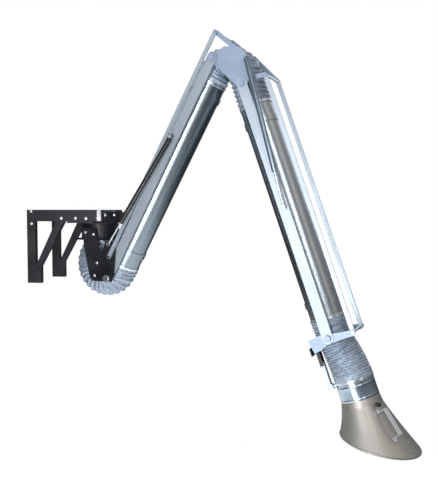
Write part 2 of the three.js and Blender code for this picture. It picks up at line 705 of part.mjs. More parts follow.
function addHood() {
  const neckAxis = new THREE.Group();
  neckAxis.position.z = NECK_SHIFT;
  wristMember.add(neckAxis);
  const lugTop = NECK_RADIUS - 1;
  const pivotSquare = TILT_PIVOT[1] - NECK_SHIFT;
  const [lugAlong] = TILT_PIVOT;
  const lug = join(
    box([lugAlong - LUG_HALF, lugAlong + LUG_HALF], [-10, 10], [pivotSquare, -lugTop + 2]),
    crossRod(LUG_HALF, -10, 10, [lugAlong, pivotSquare]),
  );
  const collar = join(pipe(NECK_RADIUS, NECK_RADIUS - SHEET, NECK[0], NECK[1] - GAP, 20), lug);
  const lugBore = crossRod(4 + GAP, -30, 30, [TILT_PIVOT[0], pivotSquare]);
  piece(neckAxis, 'neck_collar', cut(collar, lugBore), galvanised);

  const shaftAngle = HANDLE_SIDE * DEG;
  const damperTool = (radius, from, to, sides) => {
    const rod = new THREE.CylinderGeometry(radius, radius, to - from, sides);
    rod.rotateZ(-Math.PI / 2);
    rod.translate((from + to) / 2, 0, 0);
    rod.rotateZ(shaftAngle);
    rod.rotateY(-(90 + UPPER_ANGLE) * DEG);
    const [x, z] = fromMember(WRIST, UPPER_ANGLE, [DAMPER_AT, NECK_SHIFT + 2]);
    rod.translate(x, 0, z);
    return rod;
  };
  const bore = damperTool(5 + GAP, -140, 140, 12);
  piece(arm, 'hood_cone', cut(hoodCone(), bore), stainless);

  const rim = HOOD_RINGS[HOOD_RINGS.length - 1];
  const lip = new THREE.TorusGeometry(rim.radius - 2, LIP_RADIUS, 8, 44);
  lip.rotateY(-rim.tilt * DEG);
  const [dx, dz] = direction(rim.tilt - 90);
  const drop = LIP_RADIUS + GAP;
  lip.translate(WRIST[0] + rim.at[0] + dx * drop, 0, WRIST[1] + rim.at[1] + dz * drop);
  piece(arm, 'hood_lip', lip, stainless);

  const handle = handleGeometry();
  handle.applyMatrix4(handleFrame());
  piece(arm, 'hood_handle', handle, brightSteel);

  const [boltAlong, boltSquare] = TILT_PIVOT;
  const wings = box([boltAlong - 3, boltAlong + 3], [-42, -27], [boltSquare - 17, boltSquare + 17]);
  const bolt = join(
    crossRod(4, -34, 20, TILT_PIVOT, 12),
    crossRod(9, -28, -15 - GAP, TILT_PIVOT, 12),
    crossRod(8, 15 + GAP, 23, TILT_PIVOT, 6),
    wings,
  );
  piece(wristMember, 'hood_wing_bolt', bolt, brightSteel);

  const disc = new THREE.CylinderGeometry(DAMPER_RADIUS, DAMPER_RADIUS, 2, 32);
  disc.rotateX(Math.PI / 2);
  disc.rotateX(Math.PI / 2);
  disc.rotateZ(shaftAngle);
  disc.rotateY(-(90 + UPPER_ANGLE) * DEG);
  const [cx, cz] = fromMember(WRIST, UPPER_ANGLE, [DAMPER_AT, NECK_SHIFT + 2]);
  disc.translate(cx, 0, cz);
  piece(arm, 'damper_disc', join(disc, damperTool(5, -106, 112, 12)), stainless);
  const knob = cut(damperTool(10.5, 113, 134, 16), damperTool(5 + GAP, 100, 112.5, 12));
  piece(arm, 'damper_knob', knob, knobBlack);
}

// ---- gas springs --------------------------------------------------------------------------------
// cylinder from the blind end's pivot, and rod out to the other pivot; the rod's engaged length and
// the depth of the bore leave room for its stroke both ways
function addSpring(name, blind, rodEnd, cylinderLength, engaged, boreLength) {
  const along = Math.atan2(rodEnd[1] - blind[1], rodEnd[0] - blind[0]);
  const length = Math.hypot(rodEnd[0] - blind[0], rodEnd[1] - blind[1]);
  const frame = new THREE.Group();
  frame.position.set(blind[0], -SPRING_PLANE, blind[1]);
  frame.rotation.y = -along;
  arm.add(frame);
  const bore = ROD_RADIUS + GAP;
  const eye = (x) => crossRod(EYE_RADIUS, -EYE_HALF, EYE_HALF, [x, 0]);
  const shell = join(
    alongRod(CYLINDER_RADIUS, EYE_RADIUS + 4, cylinderLength, 20),
    eye(0),
    alongRod(STUD_RADIUS, STUD_RADIUS + 2, EYE_RADIUS + 8),
  );
  const depth = cylinderLength - boreLength;
  const cylinder = cut(
    shell,
    alongRod(bore, depth, cylinderLength + 20),
    crossRod(STUD_RADIUS + GAP, -20, 20, [0, 0]),
  );
  piece(frame, `${name}_spring_cylinder`, cylinder, springBlack);
  const rod = join(alongRod(ROD_RADIUS, cylinderLength - engaged, length - EYE_RADIUS + 2), eye(length));
  piece(frame, `${name}_spring_rod`, rod, brightSteel);
}

function addSprings() {
  const lowerRail = fromMember(SHOULDER, LOWER_ANGLE, LOWER_SPRING_RAIL);
  addSpring('lower', lowerRail, plus(SHOULDER, LOWER_SPRING_PLATE), 512, 140, 165);
  const upperRail = fromMember(ELBOW, UPPER_ANGLE, UPPER_SPRING_RAIL);
  addSpring('upper', plus(ELBOW, UPPER_SPRING_PLATE), upperRail, 560, 45, 155);
}

addBracket();
addHub();
addYoke();
addMembers();
addLinks();
addElbow();
addHoses();
addWrist();
addHood();
addSprings();

export default extractor;
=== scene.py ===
"""Looks for the wall-mounted fume extraction arm.

Pivots come from the frame's joints and spans from its nodes. The hood's rings and the places of
the screws, the clip and the welds are given here in millimetres.
Hoses, ducts, the neck and the hood are remade as smooth sheet and corrugated skins; clamps, screws,
rivets, welds and a cable clip are added; everything else keeps its CAD shape, mostly with a bevel.
"""
import json
import math

import bmesh
import bpy
from mathutils import Matrix, Vector


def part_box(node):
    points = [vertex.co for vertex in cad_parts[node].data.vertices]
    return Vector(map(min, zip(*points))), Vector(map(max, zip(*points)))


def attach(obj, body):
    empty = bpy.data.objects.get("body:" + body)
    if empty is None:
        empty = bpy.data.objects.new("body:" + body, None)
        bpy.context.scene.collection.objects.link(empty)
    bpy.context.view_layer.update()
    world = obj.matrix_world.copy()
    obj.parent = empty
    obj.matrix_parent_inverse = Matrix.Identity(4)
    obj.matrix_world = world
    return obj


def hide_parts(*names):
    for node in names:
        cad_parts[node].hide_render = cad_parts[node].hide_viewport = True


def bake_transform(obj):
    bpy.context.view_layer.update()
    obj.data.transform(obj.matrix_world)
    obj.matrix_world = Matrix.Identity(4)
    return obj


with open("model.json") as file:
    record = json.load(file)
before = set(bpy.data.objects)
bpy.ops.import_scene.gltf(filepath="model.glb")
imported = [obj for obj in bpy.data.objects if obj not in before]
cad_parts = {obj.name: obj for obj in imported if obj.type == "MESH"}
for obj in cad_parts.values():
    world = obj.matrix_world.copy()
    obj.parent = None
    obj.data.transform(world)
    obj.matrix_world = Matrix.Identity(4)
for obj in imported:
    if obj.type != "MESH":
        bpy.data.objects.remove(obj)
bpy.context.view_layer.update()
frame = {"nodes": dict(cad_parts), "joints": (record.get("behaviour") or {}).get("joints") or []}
NODES = frame["nodes"]
MM = 0.001
FLOOR_DROP = 2.3  # the bracket hangs this far above the floor
UP = Vector((0, 0, 1))
SIDES = ((-1, "near"), (1, "far"))
TINY = 1e-9


# ---- places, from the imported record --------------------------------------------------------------
JOINTS = {joint["name"]: joint for joint in frame["joints"]}


def pivot(joint):
    return Vector(JOINTS[joint]["pos_m"])


ACROSS = -Vector(JOINTS["lower_arm_tilt"]["axis"])  # from the near side to the far side of the arm
OUT = ACROSS.cross(UP)
HUB = Vector((pivot("swivel").x, 0, 0))
SHOULDER = pivot("lower_arm_tilt")
LOWER_END = pivot("elbow_level")
ELBOW = pivot("upper_arm_tilt")
WRIST = pivot("wrist_level")
TILT = pivot("hood_tilt")
LOWER_DIR = (LOWER_END - SHOULDER).normalized()
UPPER_DIR = (WRIST - ELBOW).normalized()
UPPER_SQUARE = UPPER_DIR.cross(ACROSS)
BEAM_LOW, BEAM_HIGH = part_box("beam_near")


def in_arm(out, across, up, origin=HUB):
    """A point from millimetres out, across and up in the arm's swung frame."""
    return origin + (OUT * out + ACROSS * across + UP * up) * MM


def on_member(origin, direction, along, square=0.0, across=0.0):
    """A point from millimetres along a member, square to it and across the arm."""
    return origin + (direction * along + direction.cross(ACROSS) * square + ACROSS * across) * MM


# ---- mesh helpers --------------------------------------------------------------------------------
def make_object(name, verts, faces, material, smooth_angle=35):
    mesh = bpy.data.meshes.new(name)
    mesh.from_pydata([tuple(v) for v in verts], [], faces)
    mesh.validate()
    obj = bpy.data.objects.new(name, mesh)
    bpy.context.scene.collection.objects.link(obj)
    mesh.materials.append(material)
    shade(obj, smooth_angle)
    return obj


def shade(obj, angle):
    """Smooth shading that keeps edges sharper than the angle."""
    mesh = obj.data
    mesh.shade_smooth()
    mesh.set_sharp_from_angle(angle=math.radians(angle))


def loop_faces(count_a, count_b):
    """Quads of a grid that closes on itself both ways."""
    faces = []
    for a in range(count_a):
        b_row = ((a + 1) % count_a) * count_b
        a_row = a * count_b
        for b in range(count_b):
            c = (b + 1) % count_b
            faces.append((a_row + b, a_row + c, b_row + c, b_row + b))
    return faces


def swept_shell(name, route, profile, material, sides=72, smooth_angle=35):
    """A hollow piece around a route. profile is a closed list of (station in mm, radius function)."""
    verts = []
    for station, radius in profile:
        centre, tangent = route(station)
        square = tangent.cross(ACROSS)
        for i in range(sides):
            angle = 2 * math.pi * i / sides
            r = radius(station, angle) * MM
            verts.append(centre + (ACROSS * math.cos(angle) + square * math.sin(angle)) * r)
    obj = make_object(name, verts, loop_faces(len(profile), sides), material, smooth_angle)
    face_outwards(obj)
    return obj


def steady(radius):
    """A radius that is the same all round and all along."""
    return lambda station, angle: radius


def face_outwards(obj):
    """Turns the whole closed mesh the right way out."""
    work = bmesh.new()
    work.from_mesh(obj.data)
    bmesh.ops.recalc_face_normals(work, faces=work.faces)
    work.to_mesh(obj.data)
    work.free()


def prism(name, centre, axis, radius, height, material, sides=6, chamfer=0.0, turn=0.0):
    """A bolt head, washer or nut standing on a face: base centre, axis, size in mm."""
    axis = axis.normalized()
    side = axis.orthogonal().normalized()
    other = axis.cross(side)
    rings = [(0, radius), (height - chamfer, radius)]
    if chamfer:
        rings.append((height, radius - chamfer))
    verts = []
    for level, r in rings:
        for i in range(sides):
            angle = turn + 2 * math.pi * i / sides
            verts.append(centre + (axis * level + side * r * math.cos(angle)
                                   + other * r * math.sin(angle)) * MM)
    faces = [tuple(range(sides))[::-1], tuple(range((len(rings) - 1) * sides, len(rings) * sides))]
    for k in range(len(rings) - 1):
        for i in range(sides):
            j = (i + 1) % sides
            faces.append((k * sides + i, k * sides + j, (k + 1) * sides + j, (k + 1) * sides + i))
    return make_object(name, verts, faces, material, 25)


def block(name, centre, axes, size, material, bevel=0.6):
    """A small box from its centre, three axes and its size in mm, with rounded edges."""
    verts = []
    for x in (-1, 1):
        for y in (-1, 1):
            for z in (-1, 1):
                verts.append(centre + (axes[0] * x * size[0] + axes[1] * y * size[1]
                                       + axes[2] * z * size[2]) * MM / 2)
    faces = [(0, 1, 3, 2), (4, 6, 7, 5), (0, 4, 5, 1), (2, 3, 7, 6), (0, 2, 6, 4), (1, 5, 7, 3)]
    obj = make_object(name, verts, faces, material, 30)
    face_outwards(obj)
    if bevel:
        soften(obj, bevel)
    return obj


def soften(obj, width_mm, segments=2, angle=40):
    """A small rounded edge."""
    bevel = obj.modifiers.new("soft_edges", "BEVEL")
    bevel.width = width_mm * MM
    bevel.segments = segments
    bevel.limit_method = "ANGLE"
    bevel.angle_limit = math.radians(angle)
    bevel.use_clamp_overlap = True
    bevel.harden_normals = False


def joined(name, parts):
    """Several meshes as one piece."""
    verts = []
    faces = []
    for part in parts:
        start = len(verts)
        verts += [v.co.copy() for v in part.data.vertices]
        faces += [tuple(start + i for i in polygon.vertices) for polygon in part.data.polygons]
    material = parts[0].data.materials[0]
    for part in parts:
        bpy.data.objects.remove(part)
    return make_object(name, verts, faces, material, 30)


# ---- materials -----------------------------------------------------------------------------------
class Surface:
    """A Principled material with procedural colour, roughness and relief."""

    def __init__(self, name, color, metallic=0.0, roughness=0.5, **sockets):
        self.material = bpy.data.materials.new(name)
        self.material.use_nodes = True
        self.tree = self.material.node_tree
        self.shader = self.tree.nodes["Principled BSDF"]
        self.shader.inputs["Base Color"].default_value = (*color, 1)
        self.shader.inputs["Metallic"].default_value = metallic
        self.shader.inputs["Roughness"].default_value = roughness
        for socket, value in sockets.items():
            self.shader.inputs[socket.replace("_", " ")].default_value = value
        self.place = self.node("ShaderNodeTexCoord").outputs["Object"]

    def node(self, kind, **settings):
        made = self.tree.nodes.new(kind)
        for key, value in settings.items():
            setattr(made, key, value)
        return made

    def link(self, output, target):
        self.tree.links.new(output, target)

    def stretched(self, direction, ratio):
        """Coordinates drawn out along a direction, for brushing and rolling marks."""
        rotate = self.node("ShaderNodeMapping", vector_type="POINT")
        turn = direction.to_track_quat("X", "Z").inverted().to_euler()
        rotate.inputs["Rotation"].default_value = turn
        self.link(self.place, rotate.inputs["Vector"])
        scale = self.node("ShaderNodeMapping", vector_type="POINT")
        scale.inputs["Scale"].default_value = (1 / ratio, 1, 1)
        self.link(rotate.outputs["Vector"], scale.inputs["Vector"])
        return scale.outputs["Vector"]

    def noise(self, scale, detail=3.0, vector=None, rough=0.55):
        made = self.node("ShaderNodeTexNoise")
        made.inputs["Scale"].default_value = scale
        made.inputs["Detail"].default_value = detail
        made.inputs["Roughness"].default_value = rough
        self.link(vector or self.place, made.inputs["Vector"])
        return made.outputs["Fac"]

    def cells(self, scale, vector=None):
        made = self.node("ShaderNodeTexVoronoi")
        made.inputs["Scale"].default_value = scale
        self.link(vector or self.place, made.inputs["Vector"])
        return made.outputs["Color"]

    def ramp(self, value, stops):
        made = self.node("ShaderNodeValToRGB")
        elements = made.color_ramp.elements
        while len(elements) < len(stops):
            elements.new(0.5)
        for element, (position, color) in zip(elements, stops):
            element.position = position
            element.color = (*color, 1)
        self.link(value, made.inputs["Fac"])
        return made.outputs["Color"]

    def range(self, value, low, high, source=(0.3, 0.7)):
        made = self.node("ShaderNodeMapRange")
        made.inputs["From Min"].default_value = source[0]
        made.inputs["From Max"].default_value = source[1]
        made.inputs["To Min"].default_value = low
        made.inputs["To Max"].default_value = high
        self.link(value, made.inputs["Value"])
        return made.outputs["Result"]

    def mix(self, factor, a, b):
        made = self.node("ShaderNodeMix", data_type="RGBA")
        self.link(factor, made.inputs["Factor"])
        for value, socket in ((a, made.inputs["A"]), (b, made.inputs["B"])):
            if isinstance(value, tuple):
                socket.default_value = (*value, 1)
            else:
                self.link(value, socket)
        return made.outputs["Result"]

    def set(self, socket, output):
        self.link(output, self.shader.inputs[socket])

    def relief(self, height, strength, distance_mm):
        bump = self.node("ShaderNodeBump")
        bump.inputs["Strength"].default_value = strength
        bump.inputs["Distance"].default_value = distance_mm * MM
        self.link(height, bump.inputs["Height"])
        self.set("Normal", bump.outputs["Normal"])


def shades(color, spread):
    """A darker and a lighter version of a colour."""
    return tuple(c * (1 - spread) for c in color), tuple(min(1, c * (1 + spread)) for c in color)


def black_paint(name, roughness=0.42):
    look = Surface(name, (0.007, 0.008, 0.011), 0.0, roughness, Specular_IOR_Level=0.3)
    grain = look.noise(260, 4)
    cloud = look.noise(9, 3)
    dark, light = (0.004, 0.005, 0.007), (0.012, 0.013, 0.018)
    look.set("Base Color", look.ramp(cloud, [(0.3, dark), (0.75, light)]))
    look.set("Roughness", look.range(cloud, roughness - 0.1, roughness + 0.12))
    look.relief(grain, 0.35, 0.25)
    return look.material


def rolled_metal(name, color, direction, roughness, metallic=0.9, spread=0.1, ratio=40):
    look = Surface(name, color, metallic, roughness)
    streaks = look.noise(160, 3, look.stretched(direction, ratio))
    broad = look.noise(7, 3, look.stretched(direction, 4))
    dark, light = shades(color, spread)
    base = look.ramp(broad, [(0.3, dark), (0.7, light)])
    look.set("Base Color", look.mix(look.range(streaks, 0.0, 0.35), base, light))
    look.set("Roughness", look.range(streaks, roughness - 0.06, roughness + 0.1))
    look.relief(streaks, 0.12, 0.15)
    return look.material


def galvanised(name, color, direction, roughness=0.3):
    look = Surface(name, color, 1.0, roughness)
    crystal = look.cells(55)
    bright = look.node("ShaderNodeSeparateColor")
    look.link(crystal, bright.inputs["Color"])
    streaks = look.noise(150, 3, look.stretched(direction, 80))
    dark, light = shades(color, 0.05)
    flakes = look.mix(look.range(bright.outputs["Red"], 0, 1, (0, 1)), dark, light)
    broad = look.noise(3.0, 2, look.stretched(direction, 6))
    look.set("Base Color", look.mix(look.range(broad, 0, 0.4), flakes, tuple(c * 0.85 for c in color)))
    look.set("Roughness", look.range(streaks, roughness - 0.04, roughness + 0.05))
    look.relief(streaks, 0.03, 0.08)
    return look.material


def hose_cloth(name):
    look = Surface(name, (0.30, 0.36, 0.44), 0.4, 0.42)
    crease = look.noise(55, 5, None, 0.7)
    speckle = look.noise(190, 3, None, 0.8)
    cloud = look.noise(14, 3)
    base = look.ramp(cloud, [(0.25, (0.07, 0.10, 0.15)), (0.75, (0.21, 0.27, 0.35))])
    worn = look.mix(look.range(speckle, 0.0, 0.75, (0.42, 0.62)), base, (0.44, 0.51, 0.60))
    look.set("Base Color", worn)
    look.set("Roughness", look.range(crease, 0.3, 0.52))
    look.relief(crease, 0.8, 2.0)
    return look.material


def plastic(name, color, roughness):
    look = Surface(name, color, 0.0, roughness)
    dark, light = shades(color, 0.25)
    look.set("Base Color", look.ramp(look.noise(30, 3), [(0.3, dark), (0.7, light)]))
    look.relief(look.noise(420, 2), 0.2, 0.12)
    return look.material


ZINC = (0.50, 0.56, 0.66)
BRACKET = black_paint("bracket_black", 0.5)
YOKE = black_paint("yoke_black", 0.45)
LOWER_RAIL = rolled_metal("lower_rail_zinc", (0.31, 0.36, 0.41), LOWER_DIR, 0.44, 0.55, 0.18)
UPPER_RAIL = rolled_metal("upper_rail_zinc", (0.37, 0.43, 0.50), UPPER_DIR, 0.5, 0.5, 0.14)
PLATE = rolled_metal("plate_zinc", (0.25, 0.31, 0.42), OUT, 0.5, 0.45, 0.1, 14)
# The lower duct gets a darker galvanised base than the upper duct. This is painted shade standing in for the
# dark reflections along its side. The lower straps and the duct spigot share this material.
LOWER_DUCT_PAINTED_SHADE = galvanised("lower_duct_galvanised_painted_shade", (0.22, 0.27, 0.31), LOWER_DIR)
UPPER_DUCT = galvanised("upper_duct_galvanised", (0.34, 0.38, 0.41), UPPER_DIR)
NECK = galvanised("neck_galvanised", (0.34, 0.42, 0.50), ACROSS, 0.28)
HOOD = rolled_metal("hood_stainless", (0.30, 0.29, 0.27), UPPER_DIR, 0.46, 0.8, 0.06, 30)
BRIGHT = rolled_metal("bright_steel", (0.55, 0.58, 0.62), UP, 0.28, 1.0, 0.06, 3)
SCREW = rolled_metal("screw_zinc", (0.72, 0.73, 0.74), UP, 0.28, 0.9, 0.08, 2)
HOSE = hose_cloth("hose_cloth")
SPRING = black_paint("spring_black", 0.2)
# The upper gas spring gets a lighter slate-blue base than the black lower spring. This is a painted
# reflection standing in for the sky seen in its glossy cylinder.
UPPER_SPRING_PAINTED_SHEEN = rolled_metal("upper_spring_painted_sheen", (0.10, 0.135, 0.17), UPPER_DIR, 0.25, 0.5, 0.12)
RING = plastic("bearing_plastic", (0.03, 0.03, 0.032), 0.6)
KNOB = plastic("knob_plastic", (0.012, 0.012, 0.013), 0.5)
CLIP = plastic("clip_grey", (0.52, 0.53, 0.55), 0.45)


def cad_material(name):
    """The look of a CAD node that stays visible."""
    if name.startswith(("beam", "leg", "wall", "hub", "swivel_housing")):
        return BRACKET, 1.2
    if name.startswith(("swivel_collar", "yoke", "wrist_cross_bar")):
        return YOKE, 0.8
    if name.startswith(("elbow_plate", "wrist_lever")):
        return PLATE, 0.8
    if "strap" in name:
        return (LOWER_DUCT_PAINTED_SHADE if name.startswith("lower") else UPPER_DUCT), 0.5
    if "rail" in name or "link" in name or name == "hood_strip":
        return (LOWER_RAIL if name.startswith("lower") else UPPER_RAIL), 0.7
    if name.startswith(("elbow_bolt", "wrist_bolt")) or name == "elbow_tie_upper":
        return PLATE, 0.6
    if "bolt" in name or "tie" in name or name == "hood_handle":
        return BRIGHT, 0.6
    if name.endswith("spring_rod"):
        return BRIGHT, 0.3
    if name.endswith("spring_cylinder"):
        return (SPRING if name.startswith("lower") else UPPER_SPRING_PAINTED_SHEEN), 0.8
    if name == "thrust_ring":
        return RING, 0.3
    if name == "damper_knob":
        return KNOB, 1.0
    if name == "duct_spigot":
        return LOWER_DUCT_PAINTED_SHADE, 0
    return HOOD, 0


def dress_cad():
    for name, obj in NODES.items():
        material, bevel = cad_material(name)
        obj.data.materials.clear()
        obj.data.materials.append(material)
        shade(obj, 32)
        if bevel:
            soften(obj, bevel)


# ---- routes --------------------------------------------------------------------------------------
def rotate_in_plane(vector, degrees):
    """Turns a vector in the arm's plane, positive from outwards to upwards."""
    return Matrix.Rotation(math.radians(degrees), 3, -ACROSS) @ vector


def route_of(start, heading, legs):
    """A route from lines and arcs: legs are (length in mm, turn in degrees). Gives point and tangent."""
    def at(station):
        point = start.copy()
        direction = heading.copy()
        left = station
        for index, (length, turn) in enumerate(legs):
            part = left / length
            if index < len(legs) - 1:
                part = min(1.0, part)
            swept = turn * part
            half = math.radians(swept / 2)
            chord = length * part * (math.sin(half) / half if abs(half) > TINY else 1)
            point = point + rotate_in_plane(direction, swept / 2) * chord * MM
            direction = rotate_in_plane(direction, swept)
            left -= length * part
            if left <= TINY:
                break
        return point, direction.normalized()
    return at


def line_route(start, direction):
    return lambda station: (start + direction * station * MM, direction)


# ---- ducts ---------------------------------------------------------------------------------------
DUCT_RADIUS = 80.0
DUCT_WALL = 2.0
DUCT_ROWS = 8
LOCK_SEAM_HEIGHT = 0.5
LOCK_SEAM_HALF = 0.05  # radians


def duct(name, origin, direction, low, high, material, node, body, seam_angle):
    """A straight duct with a lock seam along it."""
    def outside(station, angle):
        away = abs(((angle - seam_angle + math.pi) % (2 * math.pi)) - math.pi)
        seam = max(0.0, 1 - away / LOCK_SEAM_HALF)
        return DUCT_RADIUS + LOCK_SEAM_HEIGHT * min(1, seam * 3)

    inside = steady(DUCT_RADIUS - DUCT_WALL)
    stations = [low + i * (high - low) / DUCT_ROWS for i in range(DUCT_ROWS + 1)]
    profile = [(s, outside) for s in stations] + [(s, inside) for s in (high, low)]
    obj = swept_shell(name, line_route(origin, direction), profile, material, 96, 30)
    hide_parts(node)
    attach(obj, body)


def along(node, origin, direction):
    """The span of a CAD node along a member, in mm."""
    values = [(v.co - origin).dot(direction) / MM for v in NODES[node].data.vertices]
    return min(values), max(values)


def add_ducts():
    low, high = along("lower_tube", SHOULDER, LOWER_DIR)
    duct("lower_duct", SHOULDER, LOWER_DIR, low, high, LOWER_DUCT_PAINTED_SHADE, "lower_tube", "lower_arm", 5.4)
    low, high = along("upper_tube", ELBOW, UPPER_DIR)
    duct("upper_duct", ELBOW, UPPER_DIR, low, high, UPPER_DUCT, "upper_tube", "upper_arm", 0.5)


# ---- hoses ---------------------------------------------------------------------------------------
HOSE_CREST = 86.0
HOSE_VALLEY = 80.9
HOSE_WALL = 0.9
RIDGE_PITCH = 24.0
SHOULDER_PITCH = 19.0
WRIST_PITCH = 11.5
OVERLAP = 30.0  # how far a hose is pushed over a duct
NECK_OVERLAP = 11.0
SPIGOT_OVERLAP = 9.0
BEND = 90.0  # radius of the hose's middle line round the elbow
SHOULDER_BEND = BEND - 1
SHOULDER_LEAD = 32.0  # the shoulder bend ends this far along the lower arm
CUFF = 12.0  # smooth stretch at a hose's end
CUFF_FADE = 10.0
VALLEY_FADE = 14.0
NECK_SHIFT = 28.0  # the neck stands this far aside of the upper arm's line
NECK_CREST = 94.5
NECK_VALLEY = 91.6


def smooth(t):
    t = min(1.0, max(0.0, t))
    return t * t * (3 - 2 * t)


def hose(name, node, route, length, cuff=(True, True), crest=None, valley=None,
         pitch=RIDGE_PITCH, shift=0.0, depth=3.2):
    """A corrugated hose over a wire helix, with smooth cuffs where it is pushed over a tube."""
    crest_at = crest or (lambda t: HOSE_CREST)
    valley_over_tube = valley or (lambda t: HOSE_VALLEY)

    def valley_at(t):
        station = t * length
        free = 1.0
        if cuff[0]:
            free = min(free, smooth((station - OVERLAP - 2) / VALLEY_FADE))
        if cuff[1]:
            free = min(free, smooth((length - station - OVERLAP - 2) / VALLEY_FADE))
        return valley_over_tube(t) - depth * free

    def outside(station, angle):
        t = station / length
        turn = station / pitch + angle / (2 * math.pi) + shift
        wave = abs(math.sin(math.pi * turn)) ** 0.75
        fine = 0.25 * math.sin(2 * math.pi * turn * 4 + 2.3 * math.sin(angle * 3 + station * 0.05))
        crumple = 0.5 * math.sin(angle * 7 + station * 0.21) * math.sin(angle * 4 - station * 0.13)
        top = crest_at(t)
        ribbed = top - (top - valley_at(t)) * wave + (fine + crumple) * wave
        flat = valley_over_tube(t) + 0.9
        weight = 1.0
        if cuff[0]:
            weight *= min(1, max(0, (station - CUFF) / CUFF_FADE))
        if cuff[1]:
            weight *= min(1, max(0, (length - station - CUFF) / CUFF_FADE))
        return flat + (ribbed - flat) * weight

    def inside(station, angle):
        return valley_at(station / length) - HOSE_WALL + 0.6

    steps = max(24, round(length / 2.6))
    stations = [length * i / steps for i in range(steps + 1)]
    inner = [length * (1 - i / 48) for i in range(49)]
    profile = [(s, outside) for s in stations] + [(s, inside) for s in inner]
    obj = swept_shell(name, route, profile, HOSE, 84, 60)
    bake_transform(obj)
    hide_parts(node)


def arc_leg(radius, turn):
    """A leg of a route that turns by degrees on a radius."""
    return math.radians(abs(turn)) * radius, turn


def degrees_of(direction):
    """A direction's angle in the arm's plane, above the outward line."""
    return math.degrees(math.atan2(direction.z, direction.dot(OUT)))


def plane(point):
    """A point as millimetres out and up in the arm's frame."""
    offset = (point - HUB) / MM
    return offset.dot(OUT), offset.z


def shoulder_hose():
    """From the swivel's spigot down, aside and round below the shoulder into the lower duct."""
    low, high = along("lower_tube", SHOULDER, LOWER_DIR)
    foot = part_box("swivel_collar")[0].z / MM
    top = foot + SPIGOT_OVERLAP
    angle = degrees_of(LOWER_DIR)
    centre = plane(on_member(SHOULDER, LOWER_DIR, SHOULDER_LEAD, SHOULDER_BEND))
    drop = centre[1] - foot
    aside = (centre[0] ** 2 + drop ** 2 - SHOULDER_BEND ** 2) / (2 * (SHOULDER_BEND - centre[0]))
    swerve = math.degrees(math.atan2(-drop, centre[0] + aside))
    legs = [(top - foot, 0), arc_leg(aside, -swerve), arc_leg(SHOULDER_BEND, angle + 90 + swerve),
            (low - SHOULDER_LEAD + OVERLAP, 0)]
    length = sum(leg[0] for leg in legs)
    route = route_of(in_arm(0, 0, top), -UP, legs)
    hose("shoulder_hose_skin", "shoulder_hose", route, length,
         pitch=SHOULDER_PITCH)


def elbow_hoses():
    """One hose over the elbow in two halves, tangent to both ducts."""
    lower_span = along("lower_tube", SHOULDER, LOWER_DIR)
    upper_span = along("upper_tube", ELBOW, UPPER_DIR)
    a, b = degrees_of(LOWER_DIR), degrees_of(UPPER_DIR)
    turn = b - a
    p, q = plane(SHOULDER), plane(ELBOW)
    da = (math.cos(math.radians(a)), math.sin(math.radians(a)))
    db = (math.cos(math.radians(b)), math.sin(math.radians(b)))
    cross = da[0] * db[1] - da[1] * db[0]
    reach = ((q[0] - p[0]) * db[1] - (q[1] - p[1]) * db[0]) / cross
    corner = (p[0] + da[0] * reach, p[1] + da[1] * reach)
    past = (corner[0] - q[0]) * db[0] + (corner[1] - q[1]) * db[1]
    tangent = BEND * math.tan(math.radians(abs(turn) / 2))
    start = lower_span[1] - OVERLAP
    half = arc_leg(BEND, turn / 2)
    legs = [(reach - tangent - start, 0), half, half, (upper_span[0] + OVERLAP - past - tangent, 0)]
    route = route_of(on_member(SHOULDER, LOWER_DIR, start), LOWER_DIR, legs)
    first = legs[0][0] + half[0]
    second = half[0] + legs[3][0]
    apex = route(first)[0]
    hose("elbow_hose_skin_lower", "elbow_hose_lower", route, first,
         (True, False))
    hose("elbow_hose_skin_upper", "elbow_hose_upper",
         lambda s: route(s + first), second,
         (False, True), shift=first / RIDGE_PITCH)


def wrist_hoses():
    """From the upper duct to the neck, drifting sideways; wider towards the neck."""
    tube_end = along("upper_tube", WRIST, UPPER_DIR)[1]
    neck_top, neck_bottom = along("neck_collar", WRIST, UPPER_DIR)
    lead = 5.0
    run = neck_top - tube_end - 2 * lead
    lean = math.degrees(2 * math.atan(NECK_SHIFT / run))
    radius = run / 2 / math.sin(math.radians(lean))
    arc = arc_leg(radius, lean)
    legs = [(OVERLAP + lead, 0), arc, (arc[0], -arc[1]), (lead + NECK_OVERLAP, 0)]
    route = route_of(on_member(WRIST, UPPER_DIR, tube_end - OVERLAP), UPPER_DIR, legs)
    first = legs[0][0] + arc[0]
    second = arc[0] + legs[3][0]
    total = first + second

    def widened(narrow, wide, s):
        return narrow + (wide - narrow) * smooth((s - 60) / (total - 90))

    def crest(s):
        return widened(HOSE_CREST, NECK_CREST, s)

    def valley(s):
        return widened(HOSE_VALLEY, NECK_VALLEY, s)

    middle = route(first)[0]
    hose("wrist_hose_skin_upper", "wrist_hose_upper", route, first,
         (True, False),
         lambda t: crest(t * first), lambda t: valley(t * first), WRIST_PITCH)
    hose("wrist_hose_skin_lower", "wrist_hose_lower", lambda s: route(s + first),
         second, (False, True),
         lambda t: crest(first + t * second), lambda t: valley(first + t * second),
         WRIST_PITCH, first / WRIST_PITCH)


# ---- hose clamps ---------------------------------------------------------------------------------
CLAMP_WIDTH = 12.0
CLAMP_THICK = 0.9
CLAMP_SINK = 0.3


